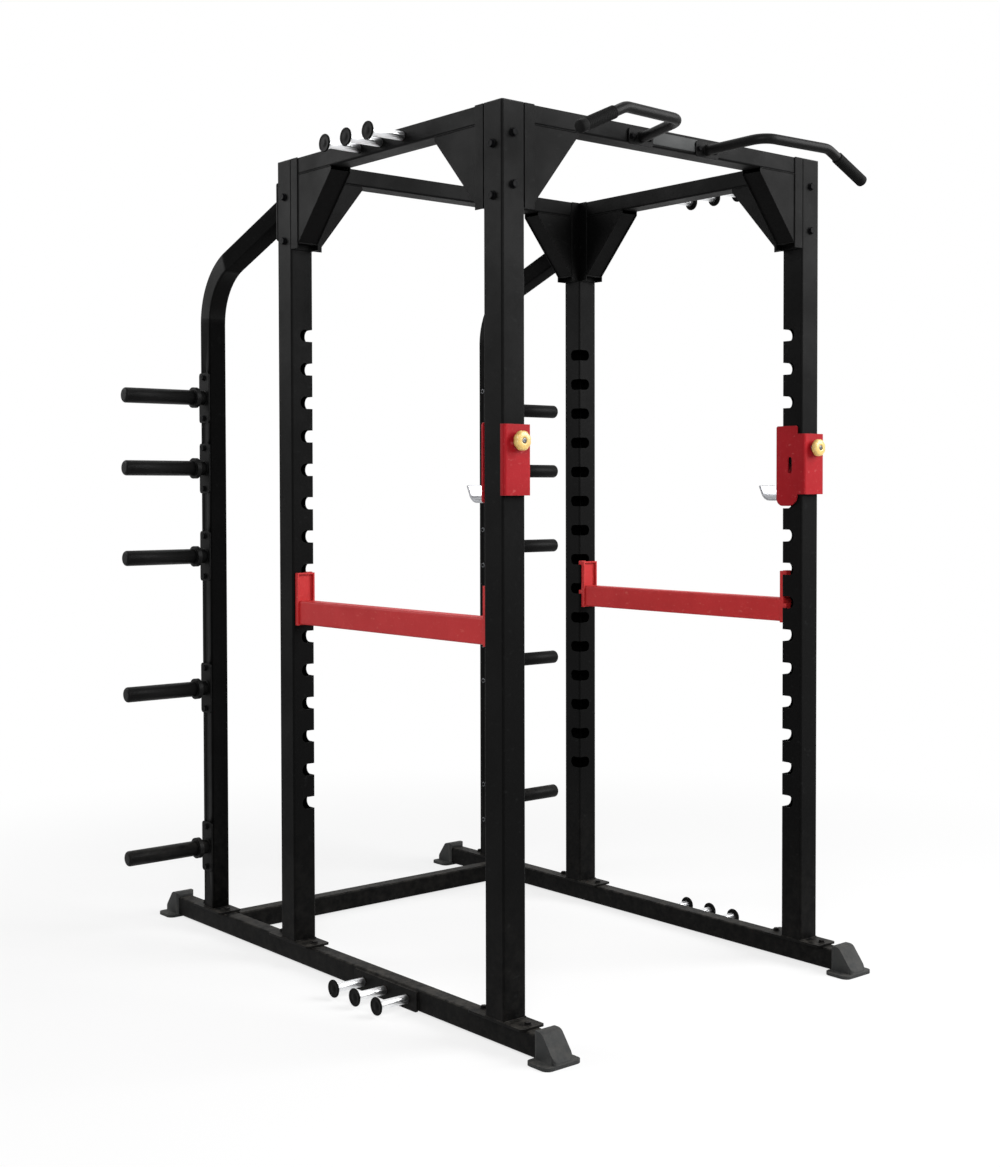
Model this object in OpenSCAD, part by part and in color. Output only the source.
// Power cage: four slotted uprights on two floor rails, boxed corner gussets under the top beams,
// bent storage posts with weight horns, pull-up handles, band pegs, lift-off J-hooks and safety bars.
// Origin: centre of the whole footprint, on the floor. +X is the user's right, +Y is the back.

/* [Cage] */
// Width over the uprights
cage_w = 1235; // [1000:5:1400]
// Depth over the uprights
cage_d = 1045; // [950:5:1100]
// Height to the top of the beams
cage_h = 2400; // [2250:5:2500]
// Side of the square upright tube
upright_w = 75; // [70:1:80]
// Wall of every frame tube
tube_wall = 3; // [2:0.5:4]
// Outer corner radius of the frame tubes
tube_r = 6; // [5:0.5:8]
// Height of the top beams
beam_h = 50; // [40:1:60]

/* [Slots in the uprights] */
// Height of the lowest slot's centre
slot_z = 483; // [440:1:520]
// Slot spacing
slot_pitch = 100; // [95:1:105]
// Number of slots in an upright
slot_count = 15; // [13:1:16]
// Slot height, with full round ends
slot_h = 36; // [32:1:40]
// How far a slot runs from the upright's inner corner
slot_reach = 45; // [42:1:50]

/* [Floor frame] */
// Width of the base rails
rail_w = 50; // [46:1:60]
// Height of the base rails
rail_h = 60; // [50:1:70]
// Clearance under the rails
rail_lift = 5; // [4:1:8]
// Rail ahead of the front uprights
rail_front = 140; // [110:5:200]
// Rail from the front uprights' faces to its back end
rail_back = 1730; // [1650:5:1900]
// Thickness of the upright and post base plates
base_plate_t = 6; // [5:1:10]
// Length of an upright base plate
base_plate_l = 215; // [190:5:240]
// Centre of the rear floor tube ahead of the rails' back ends
floor_tube_inset = 315; // [300:5:400]

/* [Rubber feet] */
// Width of the floor flange
foot_flange_w = 122; // [100:1:140]
// Thickness of the floor flange
foot_flange_t = 9; // [6:1:11]
// Length of a foot along the rail
foot_l = 84; // [76:1:100]
// Width of the foot's body
foot_w = 66; // [64:1:72]

/* [Corner gussets] */
// Reach of the front and rear gussets along their beams
cross_gusset_l = 185; // [160:5:240]
// Reach of the side gussets along their beams
side_gusset_l = 205; // [160:5:240]
// Depth of a gusset below the top
gusset_h = 265; // [255:5:280]
// Plate thickness
gusset_t = 3; // [2:0.5:4]
// Length of the flanges beside the upright
gusset_flange = 33; // [26:1:40]
// Diameter of the frame bolts
bolt_d = 12; // [10:1:12]
// Depth of the upper bolt that holds a front or rear beam
cross_bolt_drop = 107; // [104:1:112]
// Depth of the upper bolt that holds a side beam
side_bolt_drop = 80; // [76:1:84]
// Spacing of the two bolts in a gusset
gusset_bolt_pitch = 130; // [120:5:140]

/* [Storage posts] */
// Side of the square post tube
post_w = 60; // [56:1:62]
// Centre of the posts ahead of the rails' back ends
post_inset = 236; // [160:1:250]
// Depth below the cage's top where the two straight runs would meet
post_corner_drop = 305; // [280:5:340]
// Centreline radius of the bend
post_bend_r = 200; // [160:5:220]
// Rise of the slanted run above level, in degrees
post_rise = 20.7; // [19:0.1:22]

/* [Weight horns] */
// Horn diameter
horn_d = 48; // [46:1:50]
// Horn length from the post's face
horn_l = 288; // [240:2:320]
// Radius of the horn's rounded end
horn_end_r = 9; // [6:1:12]
// Stop collar diameter
collar_d = 66; // [60:1:80]
// Stop collar thickness
collar_t = 14; // [8:1:16]
// Gap between the mounting plate and the collar
collar_off = 27; // [16:1:30]
// Height of a horn's mounting plate
horn_plate_h = 160; // [150:5:170]
// Spacing of a horn's two bolts
horn_bolt_pitch = 130; // [120:2:132]
// Horn bolt diameter
horn_bolt_d = 10; // [8:1:12]

/* [Pull-up handles] */
// Handle tube diameter
handle_d = 28; // [26:1:32]
// Centreline radius of the handle bends
handle_bend_r = 55; // [45:5:65]
// Handle root from the cage's centre
handle_root_x = 130; // [110:5:150]
// Grip end from the cage's centre
handle_end_x = 548; // [520:2:560]
// How far the grips stand ahead of the front faces
handle_out = 212; // [190:1:240]
// Thickness of the rubber grip
grip_t = 3; // [2:0.5:4]
// Length of the rubber grip
grip_l = 125; // [100:5:130]

/* [Band pegs] */
// Peg diameter
peg_d = 25; // [20:1:30]
// End disc diameter
peg_cap_d = 50; // [46:1:60]
// End disc thickness
peg_cap_t = 6; // [5:1:12]
// Peg spacing
peg_pitch = 102; // [90:2:110]
// End disc's outer face beyond the cage's side
peg_out = 115; // [90:1:130]

/* [J-hooks] */
// Slot number, from the lowest, that carries a J-hook
hook_slot = 10; // [8:1:11]
// Plate thickness of the J-hook
hook_t = 6; // [5:1:8]
// Height of the front channel
hook_front_h = 180; // [170:2:200]
// Depth of the front channel
hook_front_d = 16; // [14:1:20]
// Height of the side plate
hook_side_h = 239; // [230:1:260]
// Height of the rear flange
hook_rear_h = 206; // [190:2:220]
// Width of the cradle, across the upright
cradle_w = 68; // [60:1:72]
// Thickness of the cradle's strip
cradle_t = 6; // [5:1:8]
// Outer radius of the cradle's turned-up end
cradle_r = 34; // [28:1:40]
// Lift that frees a J-hook or safety bar
lift = 20; // [18:1:20]

/* [Pull knobs] */
// Knob diameter
knob_d = 52; // [46:1:56]
// Knob thickness
knob_t = 20; // [16:1:24]
// Knob centre above the hook's lower slot
knob_up = 80; // [70:1:90]
// Plunger shaft diameter
plunger_d = 12; // [10:1:12]
// Plunger travel
plunger_travel = 8; // [6:1:9]

/* [Safety bars] */
// Slot number, from the lowest, that carries a safety bar
safety_slot = 6; // [4:1:8]
// Height of the bar
safety_h = 70; // [64:1:76]
// Width of the bar
safety_w = 50; // [44:1:54]
// Height of an end bracket
safety_bracket_h = 156; // [152:1:170]
// Width of an end bracket
safety_bracket_w = 60; // [58:1:64]
// Depth of an end bracket
safety_bracket_d = 14; // [12:1:18]

/* [Hidden] */
$fn = 48;
eps = 0.01;
fit = 0.3;                                     // gap round a part that lifts or slides off
hole_gap = 0.5;                                // bolt hole larger than the bolt, on the radius

// Footprint: the handles reach furthest forward, the rear feet furthest back
foot_overhang = 50;                            // foot beyond the end of its rail
front_y = (handle_out + handle_d / 2 + grip_t - (rail_back + foot_overhang)) / 2;
mid_y = front_y + cage_d / 2;
side_x = cage_w / 2;                           // outer face of the left and right uprights
ux = side_x - upright_w / 2;                   // upright centres
uy = front_y + upright_w / 2;
inner_x = side_x - upright_w;                  // face of an upright that looks into the cage
inner_y = front_y + upright_w;
rail_top = rail_lift + rail_h;
upright_z = rail_top + base_plate_t;
cap_t = 3;
beam_w = upright_w - 2 * gusset_t;             // beams sit between the gusset flanges
web_t = 5;
beam_z = cage_h - beam_h;
post_y0 = front_y + rail_back - post_inset;
foot_socket = foot_l - foot_overhang;

// Hex hardware
washer_t = 2;
thread_out = 3;                                // bolt end past its nut
nut_t = 0.8 * bolt_d;

// ---------- shared shapes ----------

module round_rect(w, d, r) {
    square([w - 2 * r, d], center = true);
    square([w, d - 2 * r], center = true);
    for (x = [-1, 1], y = [-1, 1])
        translate([x * (w / 2 - r), y * (d / 2 - r)])
            circle(r);
}

module tube_profile(w, d, r = tube_r, wall = tube_wall) {
    difference() {
        round_rect(w, d, r);
        round_rect(w - 2 * wall, d - 2 * wall, r - wall);
    }
}

// Hollow bars along each axis: w and d are the section, l the length from the origin
module tube_z(w, d, l) {
    linear_extrude(l)
        tube_profile(w, d);
}

module tube_y(w, h, l) {
    rotate([-90, 0, 0])
        tube_z(w, h, l);
}

module tube_x(d, h, l) {
    rotate([0, 90, 0])
        tube_z(h, d, l);
}

module rod_x(d, l) {
    rotate([0, 90, 0])
        cylinder(d = d, h = l);
}

module rod_y(d, l) {
    rotate([-90, 0, 0])
        cylinder(d = d, h = l);
}

// Left and right copies, front and rear copies
module both_sides() {
    children();
    mirror([1, 0, 0])
        children();
}

module rear_copy() {
    translate([0, 2 * mid_y, 0])
        mirror([0, 1, 0])
            children();
}

module four_corners() {
    both_sides() {
        children();
        rear_copy()
            children();
    }
}

// Hex bolt whose head sits on the plane z = 0 and whose shank runs down
module hex_bolt(d, l) {
    cylinder(d = 2 * d, h = washer_t);
    translate([0, 0, washer_t])
        cylinder(d = 1.5 * d / cos(30), h = 0.6 * d, $fn = 6);
    translate([0, 0, -l])
        cylinder(d = d, h = l + washer_t);
}

// Hex nut on the plane z = 0, running down
module hex_nut(d, t) {
    translate([0, 0, -t])
        difference() {
            cylinder(d = 1.5 * d / cos(30), h = t, $fn = 6);
            translate([0, 0, -1])
                cylinder(d = d + 0.1, h = t + 2);
        }
}

// ---------- floor frame ----------

base_bolt_off = base_plate_l / 2 - 20;         // base plate bolts from the upright's centre
post_plate_l = 170;
post_bolt_off = post_plate_l / 2 - 18;
base_bolt_d = 10;
base_nut_t = 8;
upright_bolt_ys = [for (y = [uy, 2 * mid_y - uy], s = [-1, 1]) y + s * base_bolt_off];
post_bolt_ys = [for (s = [-1, 1]) post_y0 + s * post_bolt_off];
base_bolt_ys = concat(upright_bolt_ys, post_bolt_ys);

module base_rail() {
    color("#26282a")
        difference() {
            translate([-ux, front_y - rail_front, rail_lift + rail_h / 2])
                tube_y(rail_w, rail_h, rail_front + rail_back);
            for (y = base_bolt_ys)
                translate([-ux, y, rail_top - 2 * tube_wall])
                    cylinder(d = base_bolt_d + 2 * hole_gap, h = 3 * tube_wall);
        }
}

module rear_floor_tube() {
    span = 2 * (ux - rail_w / 2);
    color("#26282a")
        translate([-span / 2, front_y + rail_back - floor_tube_inset, rail_lift + rail_h / 2])
            tube_x(rail_w, rail_h, span);
}

module base_plate(l) {
    plate_w = upright_w + 5;
    difference() {
        linear_extrude(base_plate_t)
            round_rect(plate_w, l, 8);
        for (s = [-1, 1])
            translate([0, s * (l == base_plate_l ? base_bolt_off : post_bolt_off), -1])
                cylinder(d = base_bolt_d + 2 * hole_gap, h = base_plate_t + 2);
    }
}

module upright_base_plates() {
    color("#2b2d2f")
        four_corners()
            translate([-ux, uy, rail_top])
                base_plate(base_plate_l);
}

module post_base_plates() {
    color("#2b2d2f")
        both_sides()
            translate([-ux, post_y0, rail_top])
                base_plate(post_plate_l);
}

module base_bolts() {
    color("#3a3d40")
        both_sides()
            for (y = base_bolt_ys)
                translate([-ux, y, upright_z])
                    hex_bolt(base_bolt_d, base_plate_t + tube_wall + base_nut_t);
}

module base_weld_nuts() {
    color("#4a4d50")
        both_sides()
            for (y = base_bolt_ys)
                translate([-ux, y, rail_top - tube_wall])
                    hex_nut(base_bolt_d, base_nut_t);
}

// Rubber foot: origin on the floor at the end of its rail, which comes in from -Y
module foot() {
    crown = rail_top + 15;                     // top of the body
    toe_z = 15;                                // height of the sloped nose at its tip
    nose_r = 22;                               // round-over from the top into the slope
    nose_x = -12;                              // its centre, behind the rail's end
    slope_x = foot_overhang - 2;
    difference() {
        union() {
            // Sloped nose with rounded sides
            intersection() {
                rotate([90, 0, 90])
                    linear_extrude(foot_w, center = true)
                        foot_side(crown, toe_z, nose_r, nose_x, slope_x);
                translate([0, (slope_x - foot_socket) / 2, 0])
                    linear_extrude(crown + 1)
                        round_rect(foot_w, slope_x + foot_socket, 14);
            }
            // Floor flange
            translate([0, (foot_overhang - foot_socket) / 2, 0])
                linear_extrude(foot_flange_t)
                    round_rect(foot_flange_w, foot_l, 20);
        }
        // Socket for the rail's end
        translate([0, -foot_socket - 1, rail_lift + rail_h / 2])
            rotate([-90, 0, 0])
                linear_extrude(foot_socket + 1)
                    round_rect(rail_w + 2 * fit, rail_h + 2 * fit, tube_r + fit);
    }
}

// Side outline: X runs outward along the rail, Y up
module foot_side(crown, toe_z, nose_r, nose_x, slope_x) {
    slope = 53;
    polygon([
        [-foot_socket, 0],
        [slope_x, 0],
        [slope_x, toe_z],
        [nose_x + nose_r * sin(slope), crown - nose_r * (1 - cos(slope))],
        [nose_x, crown],
        [-foot_socket + 8, crown],
        [-foot_socket, crown - 8],
    ]);
    translate([nose_x, crown - nose_r])
        circle(nose_r);
}

module foot_pair() {
    color("#3c3e40")
        both_sides()
            translate([-ux, front_y + rail_back, 0])
                foot();
}

module rear_feet() {
    foot_pair();
}

module front_feet() {
    color("#3c3e40")
        both_sides()
            translate([-ux, front_y - rail_front, 0])
                mirror([0, 1, 0])
                    foot();
}

// ---------- uprights ----------

// Slot cutter through the wall on +X, wrapping the +X, +Y corner; the corner is at the origin
module slot_cut() {
    depth = tube_wall + 2;
    for (turn = [0, 1])
        mirror([turn, -turn, 0]) {
            translate([-tube_wall - 1, -slot_reach + slot_h / 2, -slot_h / 2])
                cube([depth, slot_reach - slot_h / 2 + 1, slot_h]);
            translate([-tube_wall - 1, -slot_reach + slot_h / 2, 0])
                rod_x(slot_h, depth);
        }
}

// Front left upright; the other three are mirror images
module upright() {
    difference() {
        translate([-ux, uy, upright_z])
            tube_z(upright_w, upright_w, cage_h - cap_t - upright_z);
        for (i = [0 : slot_count - 1])
            translate([-inner_x, inner_y, slot_z + i * slot_pitch])
                slot_cut();
        for (i = [0, 1]) {
            translate([-side_x - 1, uy, cage_h - cross_bolt_drop - i * gusset_bolt_pitch])
                rod_x(bolt_d + 2 * hole_gap, upright_w + 2);
            translate([-ux, front_y - 1, cage_h - side_bolt_drop - i * gusset_bolt_pitch])
                rod_y(bolt_d + 2 * hole_gap, upright_w + 2);
        }
    }
}

module upright_front_left() {
    color("#222426")
        upright();
}

module upright_front_right() {
    color("#222426")
        mirror([1, 0, 0])
            upright();
}

module upright_rear_left() {
    color("#222426")
        rear_copy()
            upright();
}

module upright_rear_right() {
    color("#222426")
        rear_copy()
            mirror([1, 0, 0])
                upright();
}

module upright_caps() {
    plug_w = upright_w - 2 * tube_wall - 0.5;
    color("#191a1b")
        four_corners()
            translate([-ux, uy, cage_h - cap_t]) {
                linear_extrude(cap_t)
                    round_rect(upright_w, upright_w, tube_r);
                translate([0, 0, -14])
                    linear_extrude(14)
                        tube_profile(plug_w, plug_w, 4, 3);
            }
}

// ---------- top beams and gussets ----------

module beam_along_x(y) {
    span = 2 * (inner_x - web_t);
    translate([-span / 2, y, beam_z + beam_h / 2])
        tube_x(beam_w, beam_h, span);
}

module top_beam_front() {
    color("#222426")
        difference() {
            beam_along_x(uy);
            both_sides()
                for (s = [-1, 1])
                    translate([-handle_root_x + s * handle_bolt_off, front_y, handle_root_z])
                        rod_y(handle_bolt_d + 2 * hole_gap, gusset_t + 2 * tube_wall);
        }
}

module top_beam_rear() {
    color("#222426")
        beam_along_x(2 * mid_y - uy);
}

module side_beam() {
    span = cage_d - 2 * upright_w - 2 * web_t;
    color("#222426")
        translate([-ux, inner_y + web_t, beam_z + beam_h / 2])
            tube_y(beam_w, beam_h, span);
}

module top_beam_left() {
    side_beam();
}

module top_beam_right() {
    mirror([1, 0, 0])
        side_beam();
}

// Boxed gusset in the XZ plane: x = 0 on the upright's face, z = 0 at the cage's top, centred on y = 0.
// bolt_drop is the depth of its upper bolt.
module gusset(reach, bolt_drop) {
    toe = 12;                                  // blunt end under the beam
    heel = gusset_h - 14;                      // where the sloped edge meets the flange
    side_plate = [[web_t, -beam_h], [reach, -beam_h], [reach, -beam_h - toe],
                  [gusset_flange, -heel], [web_t, -heel]];
    slope = [reach - gusset_flange, heel - beam_h - toe];
    slope_len = norm(slope);
    slope_angle = atan2(slope[1], slope[0]);
    difference() {
        union() {
            // End channel: web on the upright, a flange on each side
            translate([0, -upright_w / 2, -gusset_h])
                cube([web_t, upright_w, gusset_h]);
            for (s = [-1, 1])
                translate([0, s * (upright_w - gusset_t) / 2 - gusset_t / 2, -gusset_h])
                    cube([gusset_flange, gusset_t, gusset_h]);
            // Side plates inside the flanges, flush with the beam
            for (s = [-1, 1])
                translate([0, s * (beam_w - gusset_t) / 2 + gusset_t / 2, 0])
                    rotate([90, 0, 0])
                        linear_extrude(gusset_t)
                            polygon(side_plate);
            // Closing plate along the slope
            translate([gusset_flange, 0, -heel])
                rotate([0, -slope_angle, 0])
                    translate([0, -beam_w / 2 + gusset_t, gusset_t])
                        cube([slope_len, beam_w - 2 * gusset_t, gusset_t]);
            translate([web_t, -beam_w / 2, -heel])
                cube([gusset_flange - web_t, beam_w, gusset_t]);
        }
        for (i = [0, 1])
            translate([-1, 0, -bolt_drop - i * gusset_bolt_pitch])
                rod_x(bolt_d + 2 * hole_gap, web_t + 2);
    }
}

module cross_gussets() {
    both_sides()
        translate([-inner_x, uy, cage_h])
            gusset(cross_gusset_l, cross_bolt_drop);
}

module side_gussets() {
    for (rear = [0, 1])
        translate([0, rear * 2 * mid_y, 0])
            mirror([0, rear, 0])
                translate([-ux, inner_y, cage_h])
                    rotate([0, 0, 90])
                        gusset(side_gusset_l, side_bolt_drop);
}

module gussets_front() {
    color("#222426")
        cross_gussets();
}

module gussets_rear() {
    color("#222426")
        rear_copy()
            cross_gussets();
}

module gussets_left() {
    color("#222426")
        side_gussets();
}

module gussets_right() {
    color("#222426")
        mirror([1, 0, 0])
            side_gussets();
}

beam_bolt_l = upright_w + web_t + nut_t + thread_out;

// Places children at the head of each bolt through the front left upright, shank along -Z
module cross_bolt_heads() {
    for (i = [0, 1])
        translate([-side_x, uy, cage_h - cross_bolt_drop - i * gusset_bolt_pitch])
            rotate([0, -90, 0])
                children();
}

module side_bolt_heads(out) {
    for (i = [0, 1])
        translate([-ux, front_y - out, cage_h - side_bolt_drop - i * gusset_bolt_pitch])
            rotate([90, 0, 0])
                children();
}

module beam_bolts() {
    color("#3a3d40")
        both_sides() {
            cross_bolt_heads()
                hex_bolt(bolt_d, beam_bolt_l);
            side_bolt_heads(0)
                hex_bolt(bolt_d, beam_bolt_l);
            rear_copy() {
                cross_bolt_heads()
                    hex_bolt(bolt_d, beam_bolt_l);
                side_bolt_heads(top_plate_t)
                    hex_bolt(bolt_d, beam_bolt_l + top_plate_t);
            }
        }
}

module beam_nuts() {
    color("#4a4d50")
        four_corners() {
            cross_bolt_heads()
                translate([0, 0, -upright_w - web_t])
                    hex_nut(bolt_d, nut_t);
            side_bolt_heads(0)
                translate([0, 0, -upright_w - web_t])
                    hex_nut(bolt_d, nut_t);
        }
}

// ---------- storage posts ----------

top_plate_t = 6;
rear_face_y = front_y + cage_d;
post_corner_z = cage_h - post_corner_drop;
post_turn = 90 - post_rise;
post_tangent = post_bend_r * tan(post_turn / 2);
bend_swell = 0.05;                             // the bend's wall is this much fuller on each side
bend_lap = 0.5;                                // straight runs reach this far into the bend
top_plate_h = gusset_bolt_pitch + 2 * 22;
top_plate_z = cage_h - side_bolt_drop - gusset_bolt_pitch / 2;
horn_zs = [271, 785, 1211, 1493, 1719];        // horn heights

module storage_post() {
    post_x = side_x - upright_w / 2;
    run = (post_y0 - rear_face_y) / cos(post_rise) - post_tangent + post_w;
    bend_w = post_w + 2 * bend_swell;
    difference() {
        translate([-post_x, post_y0, 0]) {
            translate([0, 0, upright_z])
                tube_z(post_w, post_w, post_corner_z - post_tangent - upright_z + bend_lap);
            // Bend toward the cage, about an axis parallel to X
            translate([0, -post_bend_r, post_corner_z - post_tangent])
                rotate([90, 0, 90]) {
                    rotate_extrude(angle = post_turn, $fn = 96)
                        translate([post_bend_r, 0])
                            tube_profile(bend_w, bend_w, tube_r + bend_swell, tube_wall + 2 * bend_swell);
                    // Slanted run
                    rotate([0, 0, post_turn])
                        translate([post_bend_r, -bend_lap, 0])
                            rotate([-90, 0, 0])
                                tube_z(post_w, post_w, run);
                }
        }
        // Trimmed on the top plate
        translate([-side_x - upright_w, rear_face_y + top_plate_t - cage_d, 0])
            cube([3 * upright_w, cage_d, 2 * cage_h]);
        for (z = horn_zs, s = [-1, 1])
            translate([-side_x - 1, post_y0, z + s * horn_bolt_pitch / 2])
                rod_x(horn_bolt_d + 2 * hole_gap, upright_w + 2);
    }
}

module storage_post_left() {
    color("#222426")
        storage_post();
}

module storage_post_right() {
    color("#222426")
        mirror([1, 0, 0])
            storage_post();
}

module post_top_plates() {
    color("#2b2d2f")
        both_sides()
            difference() {
                translate([-ux, rear_face_y + top_plate_t, top_plate_z])
                    rotate([90, 0, 0])
                        linear_extrude(top_plate_t)
                            round_rect(upright_w, top_plate_h, 8);
                for (i = [0, 1])
                    translate([-ux, rear_face_y - 1, cage_h - side_bolt_drop - i * gusset_bolt_pitch])
                        rod_y(bolt_d + 2 * hole_gap, top_plate_t + 2);
            }
}

// ---------- weight horns ----------

horn_plate_t = 5;
horn_wall = 5;
horn_root_d = horn_d - 3;                      // turned-down root, under the collar
horn_nut_t = 8;
post_face_x = ux + post_w / 2;                 // outer face of a post
horn_base_x = post_face_x + horn_plate_t;

module at_horns() {
    for (z = horn_zs)
        translate([-horn_base_x, post_y0, z])
            rotate([0, -90, 0])
                children();
}

// Horn along +Z, from its plate to a rounded end: a tube closed at the end
module horn() {
    l = horn_l - horn_plate_t;
    shoulder_z = collar_off + collar_t + 1;    // full diameter from just past the collar
    difference() {
        rotate_extrude(angle = 360)
            union() {
                square([horn_root_d / 2, l - horn_end_r]);
                translate([0, shoulder_z])
                    square([horn_d / 2, l - horn_end_r - shoulder_z]);
                square([horn_d / 2 - horn_end_r, l]);
                translate([horn_d / 2 - horn_end_r, l - horn_end_r])
                    intersection() {
                        circle(horn_end_r);
                        square(horn_end_r);
                    }
            }
        translate([0, 0, -1])
            cylinder(d = horn_d - 2 * horn_wall, h = l - horn_end_r);
    }
}

module weight_horns_left() {
    color("#1c1d1f")
        at_horns()
            horn();
}

module weight_horns_right() {
    color("#1c1d1f")
        mirror([1, 0, 0])
            at_horns()
                horn();
}

module horn_collars() {
    color("#1c1d1f")
        both_sides()
            at_horns()
                translate([0, 0, collar_off])
                    difference() {
                        cylinder(d = collar_d, h = collar_t);
                        translate([0, 0, -1])
                            cylinder(d = horn_root_d, h = collar_t + 2);
                    }
}

module horn_plates() {
    color("#2b2d2f")
        both_sides()
            at_horns()
                translate([0, 0, -horn_plate_t])
                    difference() {
                        linear_extrude(horn_plate_t)
                            round_rect(horn_plate_h, post_w, 10);
                        for (s = [-1, 1])
                            translate([s * horn_bolt_pitch / 2, 0, -1])
                                cylinder(d = horn_bolt_d + 2 * hole_gap, h = horn_plate_t + 2);
                    }
}

module horn_bolts() {
    color("#3a3d40")
        both_sides()
            at_horns()
                for (s = [-1, 1])
                    translate([s * horn_bolt_pitch / 2, 0, 0])
                        hex_bolt(horn_bolt_d, horn_plate_t + post_w + horn_nut_t + thread_out);
}

module horn_nuts() {
    color("#4a4d50")
        both_sides()
            at_horns()
                for (s = [-1, 1])
                    translate([s * horn_bolt_pitch / 2, 0, -horn_plate_t - post_w])
                        hex_nut(horn_bolt_d, horn_nut_t);
}

// ---------- pull-up handles ----------

handle_root_z = cage_h - 32;
handle_bolt_d = 8;
handle_bolt_off = 34;
handle_flange_t = 5;
beam_face_y = front_y + gusset_t;
handle_root_y = beam_face_y - handle_flange_t;
handle_stub = 15;                              // straight run off the flange
handle_flare = 33;                             // how far the next run spreads sideways
handle_tuck = 32;                              // its end, behind the grips
handle_crown = 11;                             // its end, above the root
handle_level = 5;                              // the long run's far end, above the root
handle_sweep = 154;                            // width of the sloping grip run
handle_drop = 67;                              // the grip's end, below the root
// Left handle's corners: out from the flange, across to the grip, down to the grip's end
handle_route = [
    [-handle_root_x, handle_root_y, handle_root_z],
    [-handle_root_x, handle_root_y - handle_stub, handle_root_z],
    [-handle_root_x - handle_flare, front_y - handle_out + handle_tuck, handle_root_z + handle_crown],
    [-handle_end_x + handle_sweep, front_y - handle_out, handle_root_z + handle_level],
    [-handle_end_x, front_y - handle_out, handle_root_z - handle_drop],
];

function unit(v) = v / norm(v);
function run_dir(p, i) = unit(p[i] - p[i - 1]);
// Direction in which the bar bends at point i, square to the run before it
function bend_toward(p, i) =
    let (a = run_dir(p, i), b = run_dir(p, i + 1))
    unit(b - (a * b) * a);
// Stations [place, direction] round the bend at point i
function bend_stations(p, i, r) =
    let (a = run_dir(p, i), t = bend_toward(p, i), turn = acos(a * run_dir(p, i + 1)),
         n = ceil(turn / 9), c = p[i] - r * tan(turn / 2) * a + r * t)
    [for (k = [0 : n]) let (q = turn * k / n) [c + r * (sin(q) * a - cos(q) * t), cos(q) * a + sin(q) * t]];
function bar_stations(p, r) = [
    [p[0], run_dir(p, 1)],
    for (i = [1 : len(p) - 2]) each bend_stations(p, i, r),
    [p[len(p) - 1], run_dir(p, len(p) - 1)],
];

// Round bar through the points of p, with bends of radius r and ends cut square.
// No run may be parallel to up.
module bent_bar(p, d, r, up) {
    sides = 24;
    stations = bar_stations(p, r);
    last = len(stations) - 1;
    points = [
        for (st = stations)
            let (u = unit(cross(st[1], up)), v = cross(u, st[1]))
            for (k = [0 : sides - 1]) let (q = 360 * k / sides) st[0] + d / 2 * (cos(q) * u + sin(q) * v)
    ];
    faces = [
        [for (k = [0 : sides - 1]) k],
        [for (k = [sides - 1 : -1 : 0]) last * sides + k],
        for (j = [0 : last - 1], k = [0 : sides - 1])
            let (a = j * sides + k, b = j * sides + (k + 1) % sides)
            each [[a, a + sides, b + sides], [a, b + sides, b]],
    ];
    polyhedron(points, faces);
}

// Lays children's Z along n and their X along x_dir, which is square to n
module aligned(n, x_dir) {
    tilt = acos(n[2]);
    spin = atan2(n[1], n[0]);
    ax = [cos(spin) * cos(tilt), sin(spin) * cos(tilt), -sin(tilt)];
    ay = [-sin(spin), cos(spin), 0];
    rotate([0, tilt, spin])
        rotate([0, 0, atan2(x_dir * ay, x_dir * ax)])
            children();
}

module pull_up_handle() {
    bent_bar(handle_route, handle_d, handle_bend_r, [0, 0, 1]);
}

module pull_up_handle_left() {
    color("#1c1d1f")
        pull_up_handle();
}

module pull_up_handle_right() {
    color("#1c1d1f")
        mirror([1, 0, 0])
            pull_up_handle();
}

module handle_flanges() {
    flange_h = 44;
    edge = 12;                                 // flange beyond its bolts' centres
    flange_w = 2 * (handle_bolt_off + edge);
    color("#1c1d1f")
        both_sides()
            difference() {
                translate([-handle_root_x, beam_face_y, handle_root_z])
                    rotate([90, 0, 0])
                        linear_extrude(handle_flange_t)
                            round_rect(flange_w, flange_h, 10);
                for (s = [-1, 1])
                    translate([-handle_root_x + s * handle_bolt_off, handle_root_y - 1, handle_root_z])
                        rod_y(handle_bolt_d + 2 * hole_gap, handle_flange_t + 2);
            }
}

module handle_bolts() {
    color("#3a3d40")
        both_sides()
            for (s = [-1, 1])
                translate([-handle_root_x + s * handle_bolt_off, handle_root_y, handle_root_z])
                    rotate([90, 0, 0])
                        hex_bolt(handle_bolt_d, handle_flange_t + tube_wall + 2 * thread_out);
}

// Rubber sleeve over the handle's end, with a blunt closed end
module handle_grip() {
    tip = handle_route[4];
    a = unit(tip - handle_route[3]);
    side = unit(cross(a, [0, 0, 1]));
    end_t = 4;
    difference() {
        translate(tip + end_t * a)
            aligned(-a, side)
                cylinder(d = handle_d + 2 * grip_t, h = grip_l + end_t);
        translate(tip)
            aligned(-a, side)
                cylinder(d = handle_d, h = grip_l + 1);
    }
}

module handle_grip_left() {
    color("#111213")
        handle_grip();
}

module handle_grip_right() {
    color("#111213")
        mirror([1, 0, 0])
            handle_grip();
}

// ---------- band pegs ----------

upper_peg_z = beam_z + beam_h / 2;
lower_peg_z = rail_lift + 26;
peg_plate_t = 6;
peg_ys = [for (i = [-1 : 1]) mid_y + i * peg_pitch];
upper_peg_x = ux + beam_w / 2;                 // beam's outer face
lower_peg_x = ux + rail_w / 2 + peg_plate_t;
lower_peg_out = peg_out - 17;                  // the rails are narrower than the uprights
peg_cap_core = 2;                              // peg end inside its disc

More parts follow.
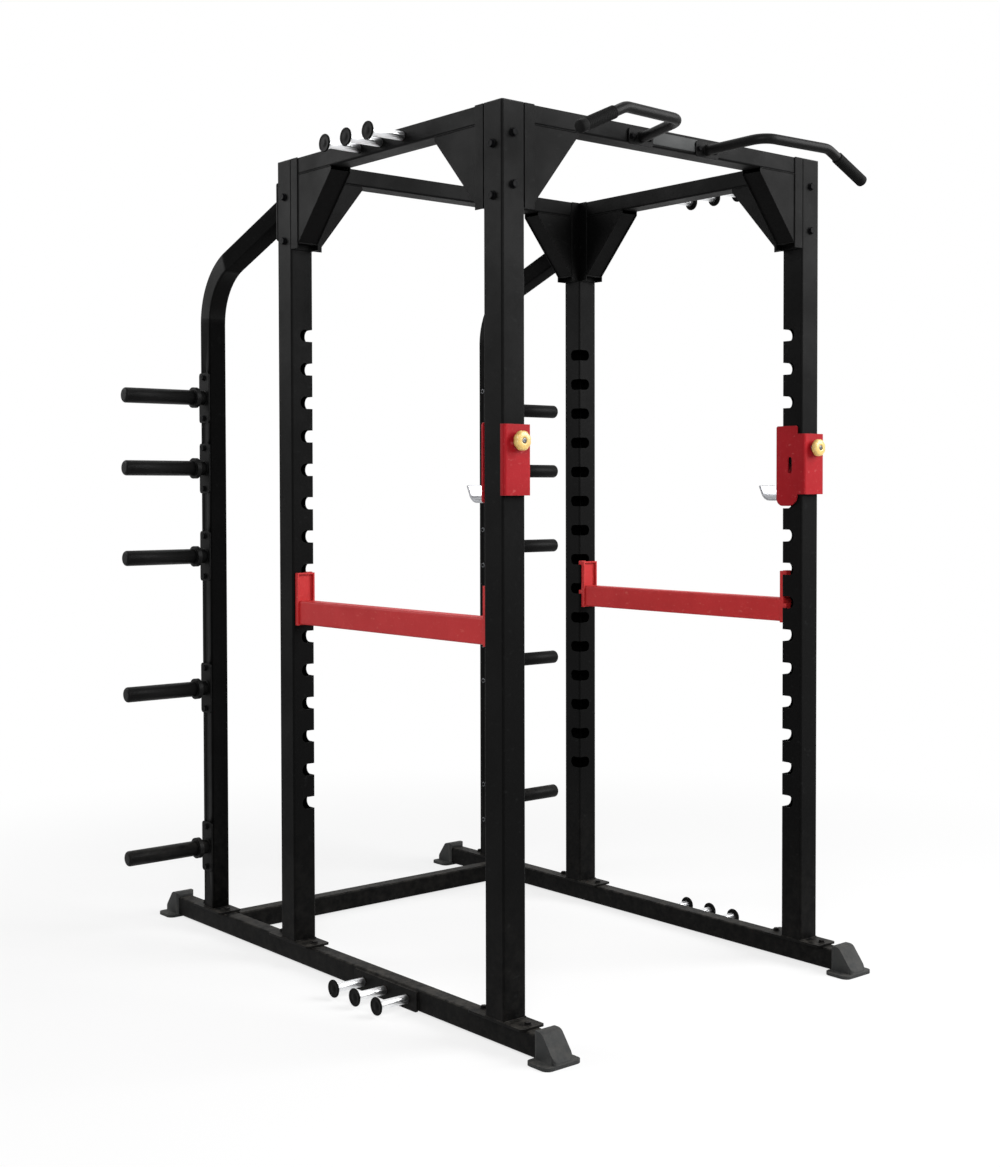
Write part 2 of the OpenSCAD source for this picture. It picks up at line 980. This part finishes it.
module pegs(root_x, z, out) {
    for (y = peg_ys)
        translate([-root_x, y, z])
            rotate([0, -90, 0])
                cylinder(d = peg_d, h = side_x + out - peg_cap_core - root_x);
}

module upper_band_pegs() {
    color("#c4c7ca")
        both_sides()
            pegs(upper_peg_x, upper_peg_z, peg_out);
}

module lower_band_pegs() {
    color("#c4c7ca")
        both_sides()
            pegs(lower_peg_x, lower_peg_z, lower_peg_out);
}

// Disc with a soft edge over the peg's end
module peg_cap() {
    edge = 2;
    difference() {
        rotate_extrude(angle = 360)
            union() {
                square([peg_cap_d / 2 - edge, peg_cap_t]);
                translate([0, edge])
                    square([peg_cap_d / 2, peg_cap_t - 2 * edge]);
                for (z = [edge, peg_cap_t - edge])
                    translate([peg_cap_d / 2 - edge, z])
                        circle(edge, $fn = 24);
            }
        translate([0, 0, -1])
            cylinder(d = peg_d, h = peg_cap_t - peg_cap_core + 1);
    }
}

module band_peg_caps() {
    color("#17181a")
        both_sides()
            for (set = [[upper_peg_z, peg_out], [lower_peg_z, lower_peg_out]], y = peg_ys)
                translate([-side_x - set[1] + peg_cap_t, y, set[0]])
                    rotate([0, -90, 0])
                        peg_cap();
}

module band_peg_plates() {
    margin = 45;                               // plate beyond the outer pegs' centres
    drop = 2;                                  // plate's lower edge below the rail
    plate_l = 2 * (peg_pitch + margin);
    plate_h = 2 * (lower_peg_z - rail_lift + drop);
    color("#2b2d2f")
        both_sides()
            translate([-lower_peg_x, mid_y, lower_peg_z])
                rotate([0, 90, 0])
                    linear_extrude(peg_plate_t)
                        round_rect(plate_h, plate_l, 6);
}

// ---------- J-hooks ----------

tab_h = 13;                                    // hook tab's neck, standing on the slot's lower edge
tab_w = 20;
tab_inset = 7;                                 // tab to the upright's corner, past the tube's inner round
nose_drop = 14;                                // tab's nose below the slot's edge, inside the tube
nose_t = 8;
tab_gap = 0.4;                                 // nose to the tube's inner wall
slot_floor = slot_z - slot_h / 2;              // lower edge of the lowest slot
hook_z = slot_floor + hook_slot * slot_pitch;  // lower edge of the hook's lower slot
side_plate_x = -inner_x + fit;                 // side plate's face toward the upright
side_w = 78;
side_y0 = inner_y - 61;                        // the side plate's front edge
side_z0 = hook_z - 93;
cradle_z = side_z0 + 16;                       // underside of the cradle and the rear flange

// Hook tab: x = 0 on the upright's face with the tab reaching to -X, z = 0 on the slot's lower edge
module slot_tab() {
    inner = -tube_wall - tab_gap;
    translate([inner, -tab_w / 2, 0])
        cube([fit + 1 - inner, tab_w, tab_h]);
    translate([inner - nose_t, -tab_w / 2, -nose_drop])
        cube([nose_t, tab_w, nose_drop + tab_h]);
}

// Left bracket: one bent sheet round three sides of the upright, open on its outer side
module hook_bracket() {
    front_over = 8;                            // front channel beyond the upright's outer face
    front_w = hook_t + fit + upright_w + front_over;
    front_z0 = side_z0 + 35;
    bend_r = 8;
    rear_w = 75;
    rear_r = 8;
    window = [16, 50];
    outer_x = side_plate_x + hook_t;           // side plate's face toward the cage
    difference() {
        union() {
            translate([side_plate_x, side_y0, side_z0])
                rotate([90, 0, 90])
                    linear_extrude(hook_t)
                        hook_side_profile();
            // Web that carries the side plate round to the front
            translate([side_plate_x, front_y - fit - hook_front_d + bend_r, front_z0])
                cube([hook_t, side_y0 - front_y + hook_front_d + fit, hook_front_h]);
            // Front channel, open at its ends and toward the upright
            translate([outer_x - front_w / 2, front_y - fit, front_z0])
                linear_extrude(hook_front_h)
                    difference() {
                        round_rect(front_w, 2 * hook_front_d, bend_r);
                        round_rect(front_w - 2 * hook_t, 2 * (hook_front_d - hook_t), bend_r - hook_t);
                        translate([-front_w / 2 - 1, 0])
                            square([front_w + 2, hook_front_d + 1]);
                    }
            // Rear flange, behind the upright
            translate([outer_x - rear_w, side_y0 + side_w, cradle_z])
                rotate([90, 0, 0])
                    linear_extrude(hook_t)
                        translate([rear_w / 2, hook_rear_h / 2])
                            round_rect(rear_w, hook_rear_h, rear_r);
            for (i = [0, 1])
                translate([-inner_x, inner_y - tab_w / 2 - tab_inset, hook_z + i * slot_pitch])
                    slot_tab();
        }
        // Window that shows the slot behind
        translate([side_plate_x - 1, inner_y - 34, hook_z + 29])
            rotate([90, 0, 90])
                linear_extrude(hook_t + 2)
                    round_rect(window[0], window[1], window[0] / 2 - eps);
        // Seat for the plunger barrel
        translate([-ux, front_y - fit - hook_front_d - 1, knob_z])
            rod_y(barrel_d, hook_t + 2);
    }
}

// Side plate, from its lower front corner: both lower corners are large rounds
module hook_side_profile() {
    toe_r = 34;
    heel_r = 24;
    head_h = 30;
    head_r = 6;
    hull() {
        translate([toe_r, toe_r])
            circle(toe_r);
        translate([side_w - heel_r, heel_r])
            circle(heel_r);
        translate([0, toe_r])
            square([side_w, 1]);
    }
    translate([0, toe_r])
        square([side_w, hook_side_h - toe_r - head_h / 2]);
    translate([side_w / 2, hook_side_h - head_h / 2])
        round_rect(side_w, head_h, head_r);
}

barrel_d = 26;
barrel_nose = 4;                               // barrel ahead of the front channel
barrel_flange_t = 2;
spring_seat = 8;                               // depth of the spring's seat inside the barrel
knob_z = hook_z + knob_up;
barrel_y0 = front_y - fit - hook_front_d + hook_t;
tip_d = 16;
tip_l = 3;
spring_d = 17;
spring_wire = 1.6;

module left_hook_bracket() {
    color("#a81f28")
        hook_bracket();
}

module right_hook_bracket() {
    color("#a81f28")
        mirror([1, 0, 0])
            hook_bracket();
}

// Cradle: strip that runs back from the rear flange and turns up, to hold the barbell
module hook_cradle() {
    translate([side_plate_x + hook_t - cradle_w, side_y0 + side_w, cradle_z])
        rotate([90, 0, 90])
            linear_extrude(cradle_w)
                cradle_profile();
}

module cradle_profile() {
    floor_l = 27;                              // flat floor before the turn
    turn = 65;
    lip_l = 24;
    steps = 12;
    centre = [floor_l, cradle_r];
    along = [cos(turn), sin(turn)];            // direction of the lip
    out = [sin(turn), -cos(turn)];             // its outer side
    tip = centre + (cradle_r - cradle_t / 2) * out + lip_l * along;
    polygon(concat(
        [[0, 0]],
        [for (i = [0:steps])
            centre + cradle_r * [sin(i * turn / steps), -cos(i * turn / steps)]],
        [for (i = [0:6])
            tip + cradle_t / 2 * (cos(30 * i) * out + sin(30 * i) * along)],
        [for (i = [steps:-1:0])
            centre + (cradle_r - cradle_t) * [sin(i * turn / steps), -cos(i * turn / steps)]],
        [[0, cradle_t]]));
}

module left_hook_cradle() {
    color("#b9bcbf")
        hook_cradle();
}

module right_hook_cradle() {
    color("#b9bcbf")
        mirror([1, 0, 0])
            hook_cradle();
}

// Barrel: flanged sleeve that guides the plunger and holds its spring
module plunger_barrel() {
    color("#b9bcbf")
        translate([-ux, barrel_y0, knob_z])
            rotate([90, 0, 0])
                difference() {
                    union() {
                        translate([0, 0, -barrel_flange_t])
                            cylinder(d = barrel_d + 8, h = barrel_flange_t);
                        cylinder(d = barrel_d, h = hook_t + barrel_nose);
                    }
                    translate([0, 0, -barrel_flange_t - 1])
                        cylinder(d = plunger_d + 0.1, h = barrel_flange_t + hook_t + barrel_nose + 2);
                    translate([0, 0, -barrel_flange_t - 1])
                        cylinder(d = spring_d + 1.4, h = barrel_flange_t + 1 + spring_seat);
                }
}

module plunger() {
    color("#8d9094")
        translate([-ux, front_y - fit, knob_z])
            rotate([90, 0, 0]) {
                cylinder(d = tip_d, h = tip_l);
                cylinder(d = plunger_d, h = knob_y0 + 6);
            }
}

knob_y0 = hook_front_d + 6;                    // knob's back face ahead of the plunger's tip

module pull_knob() {
    edge = 4;
    color("#e8c21c")
        translate([-ux, front_y - fit - knob_y0, knob_z])
            rotate([90, 0, 0])
                difference() {
                    rotate_extrude(angle = 360)
                        union() {
                            square([knob_d / 2 - edge, knob_t]);
                            translate([0, edge])
                                square([knob_d / 2, knob_t - 2 * edge]);
                            for (z = [edge, knob_t - edge])
                                translate([knob_d / 2 - edge, z])
                                    circle(edge, $fn = 32);
                        }
                    translate([0, 0, -1])
                        cylinder(d = plunger_d, h = 7);
                }
}

// Spring between the tip's shoulder and its seat in the barrel, as the sleeve its coils fill
module plunger_spring() {
    spring_y0 = front_y - fit - tip_l;
    spring_y1 = barrel_y0 - spring_seat;
    color("#9a9da0")
        translate([-ux, spring_y0, knob_z])
            rotate([90, 0, 0])
                difference() {
                    cylinder(d = spring_d, h = spring_y0 - spring_y1);
                    translate([0, 0, -1])
                        cylinder(d = spring_d - 2 * spring_wire, h = spring_y0 - spring_y1 + 2);
                }
}

module left_plunger_barrel() {
    plunger_barrel();
}

module left_plunger() {
    plunger();
}

module left_plunger_spring() {
    plunger_spring();
}

module left_pull_knob() {
    pull_knob();
}

module right_plunger_barrel() {
    mirror([1, 0, 0])
        plunger_barrel();
}

module right_plunger() {
    mirror([1, 0, 0])
        plunger();
}

module right_plunger_spring() {
    mirror([1, 0, 0])
        plunger_spring();
}

module right_pull_knob() {
    mirror([1, 0, 0])
        pull_knob();
}

// ---------- safety bars ----------

safety_z = slot_floor + safety_slot * slot_pitch;
bracket_drop = 45;                             // bracket below its lower slot's edge
bracket_z0 = safety_z - bracket_drop;
bracket_t = 5;
bar_foot = 3;                                  // bar above the bracket's lower end
bar_z = bracket_z0 + bar_foot + safety_h / 2;
bar_y0 = inner_y + fit + bracket_t;

module safety_bar() {
    translate([-ux, bar_y0, bar_z])
        tube_y(safety_w, safety_h, 2 * (mid_y - bar_y0));
}

// Front left end bracket: back plate, two flanges, a top cap and the two slot tabs
module safety_bracket() {
    back = [safety_bracket_w, bracket_t, safety_bracket_h];
    translate([-ux - safety_bracket_w / 2, inner_y + fit, bracket_z0])
        cube(back);
    for (s = [-1, 1])
        translate([-ux + s * (safety_bracket_w - bracket_t) / 2 - bracket_t / 2, inner_y + fit, bracket_z0])
            cube([bracket_t, safety_bracket_d, safety_bracket_h]);
    translate([-ux - safety_bracket_w / 2, inner_y + fit, bracket_z0 + safety_bracket_h - bracket_t])
        cube([safety_bracket_w, safety_bracket_d, bracket_t]);
    for (i = [0, 1])
        translate([-inner_x - tab_w / 2 - tab_inset, inner_y, safety_z + i * slot_pitch])
            rotate([0, 0, 90])
                slot_tab();
}

module safety_brackets() {
    safety_bracket();
    rear_copy()
        safety_bracket();
}

module left_safety_bar() {
    color("#b3262c")
        safety_bar();
}

module left_safety_brackets() {
    color("#b3262c")
        safety_brackets();
}

module right_safety_bar() {
    color("#b3262c")
        mirror([1, 0, 0])
            safety_bar();
}

module right_safety_brackets() {
    color("#b3262c")
        mirror([1, 0, 0])
            safety_brackets();
}

// ---------- assembly ----------

base_rail();  // base_rail_left
mirror([1, 0, 0]) base_rail();  // base_rail_right
rear_floor_tube();
front_feet();
rear_feet();
upright_front_left();
upright_front_right();
upright_rear_left();
upright_rear_right();
upright_base_plates();
upright_caps();
base_bolts();
base_weld_nuts();
top_beam_front();
top_beam_rear();
top_beam_left();
top_beam_right();
gussets_front();
gussets_rear();
gussets_left();
gussets_right();
beam_bolts();
beam_nuts();
storage_post_left();
storage_post_right();
post_base_plates();
post_top_plates();
weight_horns_left();
weight_horns_right();
horn_collars();
horn_plates();
horn_bolts();
horn_nuts();
pull_up_handle_left();
pull_up_handle_right();
handle_flanges();
handle_bolts();
handle_grip_left();
handle_grip_right();
upper_band_pegs();
lower_band_pegs();
band_peg_caps();
band_peg_plates();
left_hook_bracket();
left_hook_cradle();
left_plunger_barrel();
left_plunger();
left_plunger_spring();
left_pull_knob();
right_hook_bracket();
right_hook_cradle();
right_plunger_barrel();
right_plunger();
right_plunger_spring();
right_pull_knob();
left_safety_bar();
left_safety_brackets();
right_safety_bar();
right_safety_brackets();
